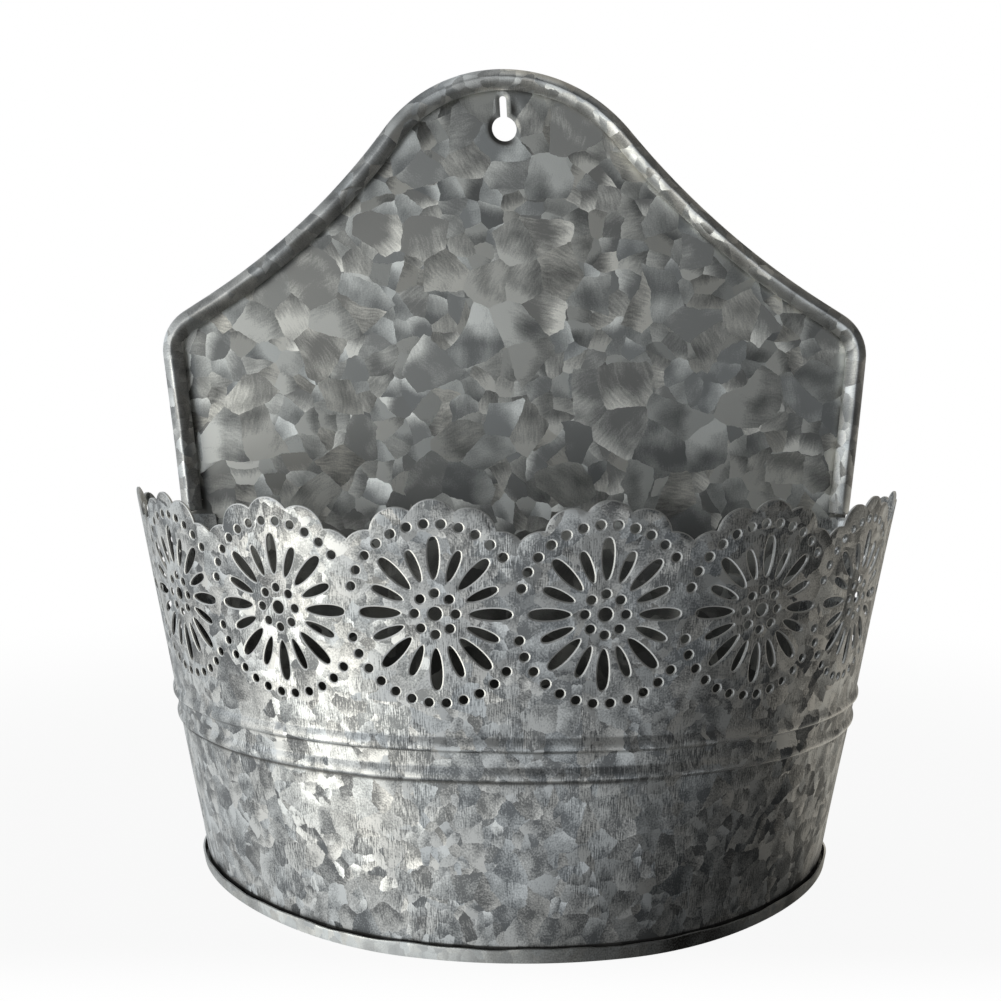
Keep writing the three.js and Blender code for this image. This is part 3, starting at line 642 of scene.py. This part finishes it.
def back_panel():
    """The flat sheet filled round the keyhole, with the rim carried along its upper edge. The
    rim's section is a circle drawn in a little on its diagonals, which leaves a soft crest."""
    middle, out = rim_line(2.2)
    height = RIM_END - 0.15
    half, foot = heel_half(height) + MARGIN, heel_half(0.0) + MARGIN
    drop = np.array([[middle[-1, 0] - 0.2, height], [half, height], [foot, 0]])
    contour = np.concatenate([middle, drop, (drop * (-1, 1))[::-1]])[::-1]
    loops = [keyhole(by) for by in (2.0, 1.5, 1.0, 0.5, 0.0)]
    loose, _ = grid_sheet(np.arange(-160, 161, 8.0), np.arange(6, 342, 8.0))
    fine, _ = grid_sheet(np.arange(-20, 20.1, 1.0), np.arange(PANEL_TOP - 45, PANEL_TOP - 10, 1.0))
    loose = np.concatenate([loose, fine])
    known = np.concatenate([loops[0], contour])
    near = ((loose[:, None] - known[None]) ** 2).sum(-1).min(1)
    hub = np.hypot(*(loose - KEYHOLE).T)
    loose = loose[(near > 0.8**2) & (hub > 7.2)]
    flat, triangles = fill(contour, [loops[0]], loose)
    dish = [0.0, 0.1, 0.28, 0.5, 0.7]
    blocks = [(flat, np.zeros(len(flat)), triangles)]
    count = len(loops[0])
    band = loop_strip(0, count, count, True)[:, ::-1]
    for i in range(len(loops) - 1):
        blocks.append((np.concatenate(loops[i : i + 2]), np.repeat(dish[i : i + 2], count), band))
    flat, depth, triangles = welded(blocks)
    dent = 0.55 * soft_line(flat[:, 0], 4.6, 2.2) * soft_line(flat[:, 1], KEYHOLE[1] + 8.5, 4.0)
    front = np.stack([flat[:, 0], PANEL_FACE + np.minimum(depth + dent, 0.75), flat[:, 1]], -1)
    back = np.stack([flat[:, 0], np.full(len(flat), PANEL_FACE + SHEET), flat[:, 1]], -1)
    base = len(flat)
    order = np.argmin(((flat[None] - middle[:, None]) ** 2).sum(-1), 1)
    angle = np.radians(np.linspace(0, 312, 53))
    ring = np.stack([np.sin(angle), np.cos(angle)], -1)
    soft = (np.abs(ring) ** RIM_POWER).sum(-1) ** (-1 / RIM_POWER)
    share = np.clip((angle - np.radians(40)) / np.radians(30), 0, 1)
    ring *= (1 + (soft - 1) * share)[:, None]
    tangent = np.gradient(ring, axis=0)
    tangent /= np.linalg.norm(tangent, axis=1, keepdims=True)
    inward = np.stack([tangent[:, 1], -tangent[:, 0]], -1)
    skins = []
    for section in (RIM_RADIUS * ring, RIM_RADIUS * ring + SHEET * inward):
        place = middle[:, None] + out[:, None] * section[None, 1:, :1]
        y = np.broadcast_to(PANEL_FACE + SHEET - RIM_RADIUS + section[None, 1:, 1], place.shape[:2])
        skins.append(np.stack([place[..., 0], y, place[..., 1]], -1).reshape(-1, 3))
    stations, rows = len(middle), len(angle) - 1
    turns = base + np.arange(stations * rows).reshape(stations, rows)
    index = np.concatenate([order[:, None], turns], 1)
    a, b = index[:-1, :-1].ravel(), index[:-1, 1:].ravel()
    c, d = index[1:, 1:].ravel(), index[1:, :-1].ravel()
    curl = np.concatenate([np.stack([a, b, c], -1), np.stack([a, c, d], -1)])
    along = np.concatenate([[0], np.cumsum(np.linalg.norm(np.diff(middle, axis=0), axis=1))])
    arc = np.broadcast_to(RIM_RADIUS * angle[1:], (stations, rows))
    wrap = np.stack([np.broadcast_to(along[:, None] + 400, arc.shape), arc], -1).reshape(-1, 2)
    outer = leaning(np.concatenate([back, skins[0]]))
    inner = leaning(np.concatenate([front, skins[1]]))
    pattern = np.concatenate([flat, wrap])
    stain_and_painted_light = (np.zeros(len(pattern)), np.concatenate([keyhole_shade_and_tub_darkening(flat), np.zeros(arc.size)]))
    kinds = np.repeat([0, 2], [len(triangles), len(curl)])
    return outer, inner, np.concatenate([triangles[:, ::-1], curl]), pattern, stain_and_painted_light, kinds


outer, inner, triangles, flat, stain_and_painted_light, kinds = back_panel()
# The darkest tone paints the shade round the keyhole and darkens the part inside the tub.
panel_tones = ((0.24, 0.24, 0.234, 1), (0.94, 0.93, 0.88, 1), (0.09, 0.086, 0.08, 1))
panel_zinc = galvanised(
    "panel_zinc", crystal=1.7, tones=panel_tones, bias=1.4, contrast=1.2,
    fibre=0.5, grit=0.4, scratch=0.12, stain=0.0, seed=11.0,
)
panel_cut = cut_edge("panel_cut_edge", (0.7, 0.7, 0.68, 1))
rim_tones = ((0.32, 0.322, 0.322, 1), (0.92, 0.92, 0.9, 1), (0.06, 0.058, 0.055, 1))
rim_zinc = galvanised(
    "rim_zinc", crystal=1.1, tones=rim_tones, bias=1.0, contrast=0.7,
    fibre=0.6, grit=0.5, scratch=0.2, stain=0.0, seed=17.0,
)
zincs = [panel_zinc, panel_cut, rim_zinc]
panel = sheet_piece("bell_panel", outer, inner, triangles, flat, stain_and_painted_light, zincs, kinds)
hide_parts("back_panel")
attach(panel, "root")

# ---------------------------------------------------------------- rim wire
# The round steel wire that stiffens the rim; only its two cut ends show under the roll.

WIRE_RADIUS = 3.2


def rim_wire():
    """A circle carried along the rim's middle line, closed at its ends by a small dome."""
    middle, out = rim_line(4.0)
    angle = 2 * np.pi * np.arange(20) / 20
    taper = np.concatenate([[0.0, 0.6, 0.9], np.ones(len(middle)), [0.9, 0.6, 0.0]])
    start, end = middle[0] - middle[1], middle[-1] - middle[-2]
    start, end = start / np.linalg.norm(start), end / np.linalg.norm(end)
    lift = np.array([0.45, 0.4, 0.2])
    domes = middle[0] + start * lift[:, None], middle[-1] + end * lift[::-1, None]
    line = np.concatenate([domes[0], middle, domes[1]])
    outs = np.concatenate([np.repeat(out[:1], 3, 0), out, np.repeat(out[-1:], 3, 0)])
    radius = WIRE_RADIUS * taper[:, None]
    place = line[:, None] + outs[:, None] * (radius * np.sin(angle))[..., None]
    y = PANEL_FACE + SHEET - RIM_RADIUS + radius * np.cos(angle)
    return leaning(np.stack([place[..., 0], y, place[..., 1]], -1))


points = rim_wire()
rows, sides = points.shape[:2]
index = np.arange(rows * sides).reshape(rows, sides)
a, b = index[:-1], np.roll(index, -1, 1)[:-1]
c, d = np.roll(index, -1, 1)[1:], index[1:]
quads = np.stack([a, b, c, d], -1).reshape(-1, 4)
mesh = bpy.data.meshes.new("rim_core")
mesh.from_pydata((points.reshape(-1, 3) / 1000).tolist(), [], quads.tolist())
mesh.polygons.foreach_set("use_smooth", np.ones(len(quads), bool))
mesh.materials.append(cut_edge("wire_steel", (0.55, 0.54, 0.52, 1)))
wire = bpy.data.objects.new("rim_core", mesh)
bpy.context.scene.collection.objects.link(wire)
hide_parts("rim_wire")
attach(wire, "root")

# ---------------------------------------------------------------- floor pan
# The bottom, pressed from the same sheet: its edge is turned up outside the foot of the wall
# and staked to it at a few places. Its lip is stained and painted with shade from the middle
# to the right, made lighter at the left as a painted highlight, darker at the far left, and
# stands further off the wall at its sides. Its inner face is darker throughout.

LIP_HEIGHT = 5.0
CORNER = 1.1
LIP_END = HALF_GIRTH - 4
STAKES = np.array([-34.5, 7.0, 36.0, 56.5])
STAKE_RISE = 3.9
STAKE_DEPTH = 0.45
UPSTAND = 12.0


def floor_pan():
    """The lip's section, a round corner and a straight, carried along the foot of the wall;
    the plate is filled inside it, and its back edge turns up against the panel."""
    girth = np.linspace(-LIP_END, LIP_END, 221)
    groove = 0.5 + 1.1 * np.minimum(np.abs(girth) / 148, 1)
    ends = np.clip((LIP_END - np.abs(girth)) / 30, 0.55, 1)
    waves = 0.22 * np.sin(girth / 9.0) + 0.15 * np.sin(girth / 3.7 + 1)
    top = LIP_HEIGHT * (0.9 + 0.1 * ends) + waves
    bend = np.radians(np.linspace(0, 90, 7))
    outside, inside, arcs = [], [], []
    even = 0 * girth
    for turn in bend:
        for rows, radius in ((outside, CORNER), (inside, CORNER - SHEET)):
            back, rise = CORNER - radius * np.sin(turn), CORNER - radius * np.cos(turn)
            rows.append((back + even, rise + even))
        arcs.append(CORNER * turn + even)
    for share in (0.25, 0.5, 0.75, 0.93, 1.0):
        rise = CORNER + (top - CORNER) * share
        round_off = 0.12 if share == 1.0 else 0.0
        outside.append((even + round_off, rise))
        inside.append((even + SHEET, rise))
        arcs.append(CORNER * np.pi / 2 + rise - CORNER)
    staked = soft_line(girth[:, None], STAKES, 1.3).sum(-1)
    skins = []
    for rows in (outside, inside):
        skin = []
        for back, rise in rows:
            dent = STAKE_DEPTH * staked * soft_line(rise, STAKE_RISE, 0.9)
            skin.append(wall_place(girth, rise, -groove - SHEET + back + dent))
        skins.append(np.stack(skin, 1))
    stations, count = skins[0].shape[:2]
    lip = np.stack([np.broadcast_to(girth[:, None], (stations, count)), np.stack(arcs, 1) - 60], -1)
    plan = skins[0][:, 0, :2]
    half = heel_half(UPSTAND) - ARC_LENGTHS[4] - FOLD_RADIUS - 3
    back_y = PANEL_FACE - CLEARANCE
    tail = np.array([[half + 1.2, back_y], [half, back_y], [-half, back_y], [-half - 1.2, back_y]])
    corner = np.array([[plan[-1, 0], back_y]])
    contour = np.concatenate([plan, corner, tail, corner * (-1, 1)])
    flat, triangles = fill(contour, [], np.zeros((0, 2)))
    bottom = np.concatenate([flat, np.zeros((len(flat), 1))], 1)
    inner = bottom + (0, 0, SHEET)
    first = skins[1][:, 0]
    inner[:stations, :2] = first[:, :2]
    base = len(flat)
    outer = np.concatenate([bottom, skins[0][:, 1:].reshape(-1, 3)])
    inner = np.concatenate([inner, skins[1][:, 1:].reshape(-1, 3)])
    rest = base + np.arange(stations * (count - 1)).reshape(stations, -1)
    index = np.concatenate([np.arange(stations)[:, None], rest], 1)
    a, b = index[:-1, :-1].ravel(), index[1:, :-1].ravel()
    c, d = index[1:, 1:].ravel(), index[:-1, 1:].ravel()
    side = np.concatenate([np.stack([a, b, c], -1), np.stack([a, c, d], -1)])
    pattern = np.concatenate([flat, lip[:, 1:].reshape(-1, 2)])
    up_outer = np.array([[half, back_y, UPSTAND], [-half, back_y, UPSTAND]])
    up_inner = up_outer - (0, SHEET, 0)
    right_foot, left_foot = stations + 2, stations + 3
    inner[[right_foot, left_foot], 1] -= SHEET
    top_right = len(outer)
    outer, inner = np.concatenate([outer, up_outer]), np.concatenate([inner, up_inner])
    pattern = np.concatenate([pattern, up_outer[:, ::2]])
    top_left = top_right + 1
    turned = np.array([[right_foot, left_foot, top_left], [right_foot, top_left, top_right]])
    triangles = np.concatenate([triangles[:, ::-1], side, turned])
    x = outer[:, 0]
    # Lip mask: stain with painted shade from the middle to the right, easing off at the far right;
    # under 0 at the left, a painted highlight; darker at the far left.
    stain = 0.68 * np.clip((x + 32) / 52, 0, 1) - 0.15 - 0.5 * np.clip((x - 60) / 40, 0, 1)
    stain = stain + 0.4 * np.clip((-88 - x) / 16, 0, 1)
    return outer, inner, triangles, pattern, (stain, np.full(len(stain), 0.35))


outer, inner, triangles, flat, stain_and_painted_light = floor_pan()
pan_tones = ((0.68, 0.68, 0.67, 1), (0.95, 0.95, 0.92, 1), (0.05, 0.047, 0.042, 1))
pan_zinc = galvanised(
    "pan_zinc", crystal=0.6, tones=pan_tones, bias=1.0, contrast=1.1,
    fibre=0.8, grit=1.3, scratch=0.3, stain=0.6, seed=23.0,
)
pan_cut = cut_edge("pan_cut_edge", (0.7, 0.7, 0.68, 1))
pan = sheet_piece("bottom_pan", outer, inner, triangles, flat, stain_and_painted_light, [pan_zinc, pan_cut])
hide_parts("floor_pan")
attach(pan, "root")

# ---------------------------------------------------------------- stage
# A sheet of white paper under the planter, a white backdrop behind it, and a dim room that is
# lighter on its left, with one large soft lamp low at the front left. What the metal mirrors
# of the room goes by direction. As the metal mirrors it, the paper glows with painted light
# by place: light on the left, a painted shadow on the right, and a lighter warm band to the
# right. The camera is close in front, level with the middle.

FLOOR_FRONT = -0.1
points = np.array([[-1.6, FLOOR_FRONT, 0], [1.6, FLOOR_FRONT, 0], [1.6, 2.2, 0], [-1.6, 2.2, 0]])
mesh = bpy.data.meshes.new("paper")
mesh.from_pydata(points.tolist(), [], [[0, 1, 2, 3]])
paper = bpy.data.materials.new("paper")
paper.use_nodes = True
finish = Finish(paper.node_tree)
shader = paper.node_tree.nodes["Principled BSDF"]
shader.inputs["Base Color"].default_value = (0.86, 0.86, 0.86, 1)
shader.inputs["Roughness"].default_value = 0.9
rays = finish.add("ShaderNodeLightPath")
place = finish.add("ShaderNodeTexCoord")["Object"]
axes = finish.add("ShaderNodeSeparateXYZ", {}, {"Vector": place})
near = 1 - finish.vector("LENGTH", place).between(0.25, 0.8)
near = near * axes["Y"].between(FLOOR_FRONT, FLOOR_FRONT + 0.05)
bearing = axes["X"].math("ARCTAN2", axes["Y"] * -1) * (180 / np.pi)
# Painted light on the paper, seen only in the metal: light on the left, painted shadow on the
# right, and a lighter band to the right.
lit = 0.04 + 0.72 * (1 - axes["X"].between(-0.06, 0.07)) + 0.5 * bearing.between(78.0, 115.0)
gloss = (rays["Is Glossy Ray"] + rays["Is Transmission Ray"]).math("MINIMUM", 1.0)
tint = finish.blend(bearing.between(45.0, 100.0), (0.95, 0.985, 1.0, 1), (1.0, 0.95, 0.84, 1))
shade = finish.scaled(tint, lit)
shade = finish.blend(gloss, (1, 1, 1, 1), shade)
camera_white_and_painted_light = finish.add("ShaderNodeEmission", {}, {"Color": shade, "Strength": 1.0})["Emission"]
plain = Reading(finish, shader.outputs["BSDF"])
seen = rays["Is Camera Ray"] * (1 - near * 0.08) + gloss
mixed = finish.add("ShaderNodeMixShader", {}, {0: seen, 1: plain, 2: camera_white_and_painted_light})["Shader"]
paper.node_tree.links.new(mixed.socket, paper.node_tree.nodes["Material Output"].inputs["Surface"])
mesh.materials.append(paper)
floor = bpy.data.objects.new("paper", mesh)
bpy.context.scene.collection.objects.link(floor)

world = bpy.data.worlds.new("studio")
bpy.context.scene.world = world
world.use_nodes = True
finish = Finish(world.node_tree)
rays = finish.add("ShaderNodeLightPath")
direction = finish.add("ShaderNodeTexCoord")["Generated"]
axes = finish.add("ShaderNodeSeparateXYZ", {}, {"Vector": direction})
turned = axes["X"].math("ARCTAN2", axes["Y"] * -1) * (180 / np.pi)
rise = axes["Z"]
left = (1 - (turned + rise * 50).between(-12.0, 18.0)) * 0.61
left = left + (1 - turned.between(-90.0, -50.0)) * 0.06
room = (left + 0.04) * (turned.between(-115.0, -75.0) * 0.3 + 0.7)
room = room + turned.between(95.0, 125.0) * 0.16
right = turned.between(-6.0, 6.0) * (1 - turned.between(40.0, 80.0))
room = room * (1 + rise.between(0.0, 0.2) * (0.7 - right * 0.75))
room = room * (1 - rise.between(0.25, 0.65) * 0.8) + 0.03 + rise.between(0.75, 0.95) * 0.4
backdrop = turned.math("ABSOLUTE").between(140.0, 168.0) * (1 - rise.between(0.1, 0.7) * 0.6)
room = room + backdrop * (1 - room)
gloss = (rays["Is Glossy Ray"] + rays["Is Transmission Ray"]).math("MINIMUM", 1.0)
tint = finish.blend(turned.between(20.0, 100.0), (0.93, 0.98, 1.02, 1), (1.0, 0.95, 0.84, 1))
soft = finish.blend(gloss, (0.35, 0.35, 0.35, 1), finish.scaled(tint, room))
sky = finish.blend(rays["Is Camera Ray"], soft, (1, 1, 1, 1))
background = world.node_tree.nodes["Background"]
world.node_tree.links.new(sky.socket, background.inputs["Color"])


def soft_lamp(name, place, aim, width, height, radiance, colour):
    """A rectangular lamp of even radiance: its power is pi times its area times that."""
    lamp = bpy.data.lights.new(name, "AREA")
    lamp.shape, lamp.size, lamp.size_y = "RECTANGLE", width, height
    lamp.energy = np.pi * width * height * radiance
    lamp.color = colour
    holder = bpy.data.objects.new(name, lamp)
    holder.location = place
    holder.rotation_euler = (Vector(aim) - Vector(place)).to_track_quat("-Z", "Y").to_euler()
    bpy.context.scene.collection.objects.link(holder)


soft_lamp("key", (-0.99, -0.82, -0.35), (0, -0.05, 0.05), 0.6, 1.2, 2.6, (1.0, 0.97, 0.87))

camera = bpy.data.cameras.new("camera")
camera.sensor_width = 36
camera.lens = 1108.9 / 1001 * 36
holder = bpy.data.objects.new("camera", camera)
place = Matrix.Translation((-0.0068, -0.434, 0.17269))
turn = Matrix.Rotation(np.pi / 2 - 0.04513, 4, "X") @ Matrix.Rotation(0.00576, 4, "Z")
holder.matrix_world = place @ turn
bpy.context.scene.collection.objects.link(holder)
bpy.context.scene.camera = holder
bpy.context.scene.view_settings.view_transform = "Standard"
